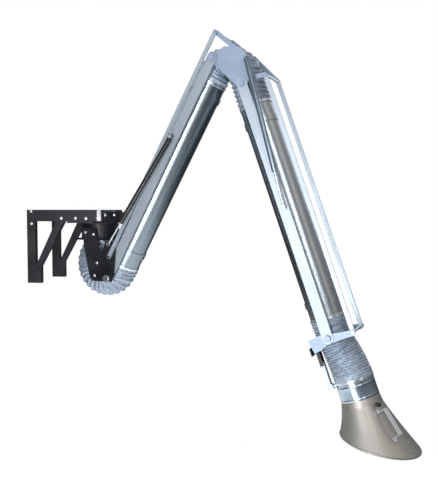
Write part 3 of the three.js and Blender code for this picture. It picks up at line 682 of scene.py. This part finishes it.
def clamp(name, centre, direction, radius, body, housing_angle=0.6):
    """A worm-drive band with its screw housing."""
    edge = CLAMP_WIDTH / 2
    crown = radius + CLAMP_THICK
    under = radius - CLAMP_SINK
    band = [(-edge, radius), (-edge + 1, crown), (edge - 1, crown), (edge, radius), (edge, under),
            (-edge, under)]
    profile = [(s, steady(r)) for s, r in band]
    ring = swept_shell(name, line_route(centre, direction), profile, BRIGHT, 84, 30)
    square = direction.cross(ACROSS)
    outward = ACROSS * math.cos(housing_angle) + square * math.sin(housing_angle)
    around = direction.cross(outward)
    at = centre + outward * (radius + 4.5) * MM
    housing = block(name + "_housing", at, (around, direction, outward), (24, 11, 7.5), BRIGHT, 0)
    screw = prism(name + "_screw", at + around * 12 * MM, around, 4.2, 7, BRIGHT, 6, 0.8)
    obj = joined(name, [ring, housing, screw])
    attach(obj, body)


def add_clamps():
    lower = along("lower_tube", SHOULDER, LOWER_DIR)
    upper = along("upper_tube", ELBOW, UPPER_DIR)
    neck_top = along("neck_collar", WRIST, UPPER_DIR)[0]
    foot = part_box("swivel_collar")[0].z / MM
    cuff = HOSE_VALLEY + 1.2
    near = -math.pi / 2 + 1.9
    clamp("clamp_shoulder_top", in_arm(0, 0, foot + 4), UP, cuff, "swivel", 2.2)
    clamp("clamp_shoulder_bottom", on_member(SHOULDER, LOWER_DIR, lower[0] + OVERLAP - 9), LOWER_DIR,
          cuff, "lower_arm", near)
    clamp("clamp_elbow_lower", on_member(SHOULDER, LOWER_DIR, lower[1] - OVERLAP + 9), LOWER_DIR,
          cuff, "lower_arm", near)
    clamp("clamp_elbow_upper", on_member(ELBOW, UPPER_DIR, upper[0] + OVERLAP - 9), UPPER_DIR,
          cuff, "upper_arm", near)
    clamp("clamp_wrist_upper", on_member(ELBOW, UPPER_DIR, upper[1] - OVERLAP + 9), UPPER_DIR,
          cuff, "upper_arm", near)
    clamp("clamp_neck", on_member(WRIST, UPPER_DIR, neck_top + 4.5, NECK_SHIFT), UPPER_DIR,
          93.0, "hood", 2.4)


# ---- hood ----------------------------------------------------------------------------------------
SHEET = 2.0
HOOD_HOLLOW = 4.0
HOOD_SIDES = 120
LAP_BEARING = math.radians(-17)
LAP_WIDTH = 15.0
LAP_STEPS = 20
RIVETS = 6
NECK_RADIUS = 91.0
NECK_FOOT = 314.0  # along the upper arm's line, from the wrist
UPPER_BEAD = 30
LOWER_BEAD = 7


def hood_rings():
    """Centre, outside radius and tilt of the hood's three rings; centres are out and up from the wrist."""
    rings = [((131.7, -286.4), 91.0, 19.6), ((141.0, -313.5), 97.0, 9.8), ((227.0, -482.0), 188.0, -10.0)]
    return [(WRIST + (OUT * x + UP * z) * MM, r, tilt) for (x, z), r, tilt in rings]


def hood_point(level, bearing, shift=0.0):
    """A point of the hood's outside. level runs from 0 at the neck to 2 at the rim."""
    rings = hood_rings()
    index = min(1, int(level))
    t = level - index
    (c0, r0, a0), (c1, r1, a1) = rings[index], rings[index + 1]

    def place(centre, radius, tilt):
        across_axis = rotate_in_plane(OUT, tilt)
        return centre + (across_axis * math.cos(bearing) + ACROSS * math.sin(bearing)) * (radius + shift) * MM

    point = place(c0, r0, a0).lerp(place(c1, r1, a1), t)
    if index == 1:
        belly = HOOD_HOLLOW * math.sin(math.pi * t) * MM  # the sheet is rolled slightly hollow below the neck
        point -= (point - c0.lerp(c1, t)).normalized() * belly
    return point


def add_hood():
    levels = [0, 0.35, 0.7, 0.9, 1, 1.06, 1.15] + [1.25 + 0.125 * i for i in range(7)]
    verts = []
    rows = [(level, 0.0) for level in levels] + [(level, -SHEET) for level in reversed(levels)]
    for level, shift in rows:
        for i in range(HOOD_SIDES):
            verts.append(hood_point(level, 2 * math.pi * i / HOOD_SIDES, shift))
    cone = make_object("hood_skin", verts, loop_faces(len(rows), HOOD_SIDES), HOOD, 35)
    face_outwards(cone)
    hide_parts("hood_cone")
    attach(cone, "hood")
    add_seam()
    add_neck()


def add_seam():
    """The lap seam down the hood's long side, a raised strip with rivets."""
    verts = []
    widths = [(-0.5, -1.0), (-0.5, 1.5), (0.5, 1.5), (0.5, -1.0)]
    for i in range(LAP_STEPS + 1):
        level = 1.02 + 0.965 * i / LAP_STEPS
        across = hood_point(level, LAP_BEARING) - hood_point(level, LAP_BEARING + math.pi)
        radius = across.length / 2 / MM
        for side, shift in widths:
            verts.append(hood_point(level, LAP_BEARING + side * LAP_WIDTH / radius, shift))
    faces = []
    for i in range(LAP_STEPS):
        for j in range(4):
            k = (j + 1) % 4
            faces.append((i * 4 + j, i * 4 + k, (i + 1) * 4 + k, (i + 1) * 4 + j))
    faces += [(0, 1, 2, 3), tuple(LAP_STEPS * 4 + j for j in (3, 2, 1, 0))]
    seam = make_object("hood_seam", verts, faces, HOOD, 30)
    face_outwards(seam)
    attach(seam, "hood")
    rivets = []
    for i in range(RIVETS):
        level = 1.1 + 0.16 * i
        at = hood_point(level, LAP_BEARING, 1.2)
        outward = (at - hood_point(level, LAP_BEARING, -8)).normalized()
        rivets.append(prism(f"rivet_{i}", at, outward, 3.2, 1.6, SCREW, 16, 1.0))
    obj = joined("hood_rivets", rivets)
    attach(obj, "hood")


def add_neck():
    """The round neck, with two rolled beads and a plain block as its hinge lug."""
    top = along("neck_collar", WRIST, UPPER_DIR)[0]
    foot = NECK_FOOT - 0.4
    centre = on_member(WRIST, UPPER_DIR, 0, NECK_SHIFT)

    def outside(station, angle):
        upper = math.exp(-((station - top - UPPER_BEAD) / 2.6) ** 2)
        lower = math.exp(-((station - NECK_FOOT + LOWER_BEAD) / 2.2) ** 2)
        return NECK_RADIUS + (upper + lower)

    inside = steady(NECK_RADIUS - SHEET)
    stations = sorted({top, top + 12, *(top + UPPER_BEAD + d for d in (-6, -4, -2, 0, 2, 4, 6)),
                       *(NECK_FOOT - LOWER_BEAD + d for d in (-5, -3, -1.5, 0, 1.5, 3, 5)), foot})
    profile = [(s, outside) for s in stations] + [(s, inside) for s in (foot, top)]
    neck = swept_shell("neck_skin", line_route(centre, UPPER_DIR), profile, NECK, 96, 30)
    outward = -UPPER_SQUARE
    tip = TILT + outward * 9 * MM
    base = on_member(WRIST, UPPER_DIR, (TILT - WRIST).dot(UPPER_DIR) / MM, NECK_SHIFT - 90)
    middle = (tip + base) / 2
    height = (tip - base).length / MM
    lug = block("neck_lug", middle, (UPPER_DIR, ACROSS, outward), (22, 20, height), NECK, 0)
    obj = joined("neck_skin", [neck, lug])
    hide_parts("neck_collar")
    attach(obj, "hood")


# ---- screws, welds and clip ----------------------------------------------------------------------
WASHER = 1.6
HEAD_WIDTH = 0.78  # of the washer's radius
HEAD_HEIGHT = 0.55
SCREW_SIZE = 7.5
FOOT_SCREW_SIZE = 7
HOUSING_FACE = 129.2
WELD_SIDES = 8
WELD_RIPPLE = 1.5


def fastener(name, face, outward, size, body, metal=SCREW):
    """A washer and a hexagon head on a face; size is the washer's radius."""
    washer = prism(name + "_washer", face, outward, size, WASHER, metal, 24, 0.4)
    head = prism(name + "_head", face + outward * WASHER * MM, outward, size * HEAD_WIDTH,
                 size * HEAD_HEIGHT, metal, 6, 0.9)
    obj = joined(name, [washer, head])
    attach(obj, body)


def add_bracket_screws():
    face_y = abs(BEAM_LOW.y)
    spots = {"post_top": (23, 22), "post": (24, -42), "brace": (186, -14), "hub_rear": (262, -14),
             "hub_middle": (318, -15), "hub_front": (381, -13)}
    for name, (x, z) in spots.items():
        for side, label in SIDES:
            face = Vector((x * MM, side * face_y, z * MM))
            fastener(f"screw_{name}_{label}", face, Vector((0, side, 0)), SCREW_SIZE, "bracket")
    for side, label in SIDES:
        for i, z in enumerate((-290, -330)):
            face = Vector((24 * MM, side * face_y, z * MM))
            fastener(f"screw_foot_{i}_{label}", face, Vector((0, side, 0)), FOOT_SCREW_SIZE, "bracket",
                     BRACKET)


def add_yoke_screws():
    spots = {"flange_rear": (-18, -88), "flange_front": (31, -98), "rib": (51, -247), "foot": (36, -313)}
    for name, (out, up) in spots.items():
        for side, label in SIDES:
            face = in_arm(out, side * 121, up)
            fastener(f"yoke_screw_{name}_{label}", face, ACROSS * side, SCREW_SIZE, "swivel")
    for label, angle in (("a", -62), ("b", -38), ("c", 38), ("d", 142), ("e", -142)):
        outward = Matrix.Rotation(math.radians(angle), 3, "Z") @ Vector((1, 0, 0))
        face = HUB + outward * HOUSING_FACE * MM + UP * 2 * MM
        fastener(f"housing_screw_{label}", face, outward, SCREW_SIZE, "bracket")


def add_clip():
    """The grey cable clip on the near beam."""
    x = BEAM_HIGH.x - 17 * MM
    face = BEAM_LOW.y
    axes = (Vector((1, 0, 0)), Vector((0, 1, 0)), UP)
    parts = [block("clip_body", Vector((x, face - 2.5 * MM, 0)), axes, (20, 5, 56), CLIP, 0),
             block("clip_lip", Vector((x, face - 7 * MM, 20 * MM)), axes, (14, 5, 10), CLIP, 0)]
    clip = joined("cable_clip", parts)
    soften(clip, 1.0)
    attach(clip, "bracket")


def weld(name, start, end, radius, body, seed):
    """A weld bead: a row of flat overlapping ripples."""
    length = (end - start).length / MM
    direction = (end - start).normalized()
    side = direction.orthogonal().normalized()
    other = direction.cross(side)
    steps = max(6, int(length / WELD_RIPPLE))
    verts = []
    for i in range(steps + 1):
        t = i / steps
        swell = radius * (0.85 + 0.15 * math.sin(i * 1.9 + seed) + 0.05 * math.sin(i * 0.7 + seed * 2))
        if i in (0, steps):
            swell *= 0.4
        centre = start.lerp(end, t)
        for j in range(WELD_SIDES):
            angle = 2 * math.pi * j / WELD_SIDES
            verts.append(centre + (side * math.cos(angle) + other * math.sin(angle)) * swell * MM)
    faces = []
    for i in range(steps):
        row = i * WELD_SIDES
        after = row + WELD_SIDES
        for j in range(WELD_SIDES):
            k = (j + 1) % WELD_SIDES
            faces.append((row + j, row + k, after + k, after + j))
    last = steps * WELD_SIDES
    faces += [tuple(range(WELD_SIDES))[::-1], tuple(range(last, last + WELD_SIDES))]
    obj = make_object(name, verts, faces, BRACKET, 60)
    face_outwards(obj)
    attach(obj, body)


def add_welds():
    """Beads where the beams meet the wall plate and where the legs meet the beams."""
    for side, label in SIDES:
        y = side * 155.0 * MM
        weld(f"weld_plate_{label}", Vector((8 * MM, y, -26 * MM)), Vector((8 * MM, y, 26 * MM)), 2.6,
             "bracket", 1 + side)
        for i, (x0, x1) in enumerate(((3, 42), (158, 200))):
            face = side * 170 * MM
            start = Vector((x0 * MM, face - side * 14 * MM, -30 * MM))
            end = Vector((x1 * MM, face - side * 14 * MM, -30 * MM))
            weld(f"weld_leg_{i}_{label}", start, end, 2.2, "bracket", 3 + i)


# ---- light, camera and floor ---------------------------------------------------------------------
def area_light(name, place, target, size, power, color=(1, 1, 1)):
    light = bpy.data.lights.new(name, "AREA")
    light.shape = "RECTANGLE"
    light.size, light.size_y = size
    light.energy = power
    light.color = color
    obj = bpy.data.objects.new(name, light)
    obj.location = place
    obj.rotation_euler = (Vector(target) - Vector(place)).to_track_quat("-Z", "Y").to_euler()
    obj.visible_camera = False
    bpy.context.scene.collection.objects.link(obj)


def pale(name, color):
    glow = {"Emission_Color": (1, 1, 1, 1), "Emission_Strength": 0.42}
    look = Surface(name, color, 0.0, 0.9, **glow)
    dark, light = shades(color, 0.01)
    look.set("Base Color", look.ramp(look.noise(1.5, 2), [(0.3, dark), (0.7, light)]))
    return look.material


SKY = [(0.0, 0.05), (0.42, 0.07), (0.52, 0.22), (0.68, 0.75), (1.0, 1.25)]  # (height, brightness)


def add_world():
    """White for camera rays only. Light and reflections see a dimmer sky, dark below and bright above."""
    world = bpy.data.worlds.new("studio")
    bpy.context.scene.world = world
    world.use_nodes = True
    tree = world.node_tree
    tree.nodes.clear()

    def node(kind):
        return tree.nodes.new(kind)

    place = node("ShaderNodeTexCoord")
    split = node("ShaderNodeSeparateXYZ")
    tree.links.new(place.outputs["Generated"], split.inputs[0])
    ramp = node("ShaderNodeValToRGB")
    height = node("ShaderNodeMapRange")
    height.inputs["From Min"].default_value = -1
    tree.links.new(split.outputs["Z"], height.inputs["Value"])
    tree.links.new(height.outputs["Result"], ramp.inputs["Fac"])
    elements = ramp.color_ramp.elements
    while len(elements) < len(SKY):
        elements.new(0.5)
    for element, (position, level) in zip(elements, SKY):
        element.position = position
        element.color = (level, level * 1.01, level * 1.03, 1)
    around = node("ShaderNodeBackground")
    tree.links.new(ramp.outputs["Color"], around.inputs["Color"])
    around.inputs["Strength"].default_value = 0.62
    behind = node("ShaderNodeBackground")
    behind.inputs["Color"].default_value = (1, 1, 1, 1)
    path = node("ShaderNodeLightPath")
    mix = node("ShaderNodeMixShader")
    out = node("ShaderNodeOutputWorld")
    tree.links.new(path.outputs["Is Camera Ray"], mix.inputs["Fac"])
    tree.links.new(around.outputs[0], mix.inputs[1])
    tree.links.new(behind.outputs[0], mix.inputs[2])
    tree.links.new(mix.outputs[0], out.inputs["Surface"])


def add_studio():
    add_world()
    bpy.context.scene.view_settings.view_transform = "Standard"
    low = -FLOOR_DROP
    verts = [(-1.6, -3.2, low), (3.3, -3.2, low), (3.3, 3.0, low), (-1.6, 3.0, low)]
    floor = make_object("floor", verts, [(0, 1, 2, 3)], pale("floor_white", (0.9, 0.9, 0.9)))
    lower_middle = on_member(SHOULDER, LOWER_DIR, 600)
    upper_middle = on_member(ELBOW, UPPER_DIR, 600)
    area_light("strip_left", (0.45, -3.19, -0.4), lower_middle, (0.75, 2.5), 100)
    area_light("strip_right", (2.3, -3.27, 1.0), upper_middle, (0.3, 1.9), 30)
    area_light("panel_warm", (3.7, -1.6, 1.3), upper_middle, (1.8, 2.2), 8, (1, 0.8, 0.62))
    area_light("panel_back", (2.7, 2.5, 1.2), upper_middle, (2.0, 2.0), 16)
    area_light("panel_top", (-0.6, -1.6, 3.6), (1.0, -0.25, 0.0), (2.6, 2.6), 30)
    area_light("panel_rear_left", (-1.2, 2.6, 1.8), (0.8, -0.1, 0.0), (1.6, 2.0), 14)
    area_light("floor_wash", (0.85, -0.1, -1.3), (0.85, -0.1, -3.0), (4.4, 5.6), 34)


def add_camera():
    """The reference view's camera, estimated together with the arm's proportions for a 160 mm duct."""
    data = bpy.data.cameras.new("camera")
    data.lens = 49.68
    data.sensor_width = 36
    data.clip_end = 60
    camera = bpy.data.objects.new("camera", data)
    camera.location = (1.48475, -3.60015, 0.0256)
    camera.rotation_euler = (math.radians(86.73), 0, math.radians(7.95))
    bpy.context.scene.collection.objects.link(camera)
    bpy.context.scene.camera = camera


add_camera()
add_studio()
dress_cad()
add_ducts()
shoulder_hose()
elbow_hoses()
wrist_hoses()
add_clamps()
add_hood()
add_bracket_screws()
add_yoke_screws()
add_clip()
add_welds()
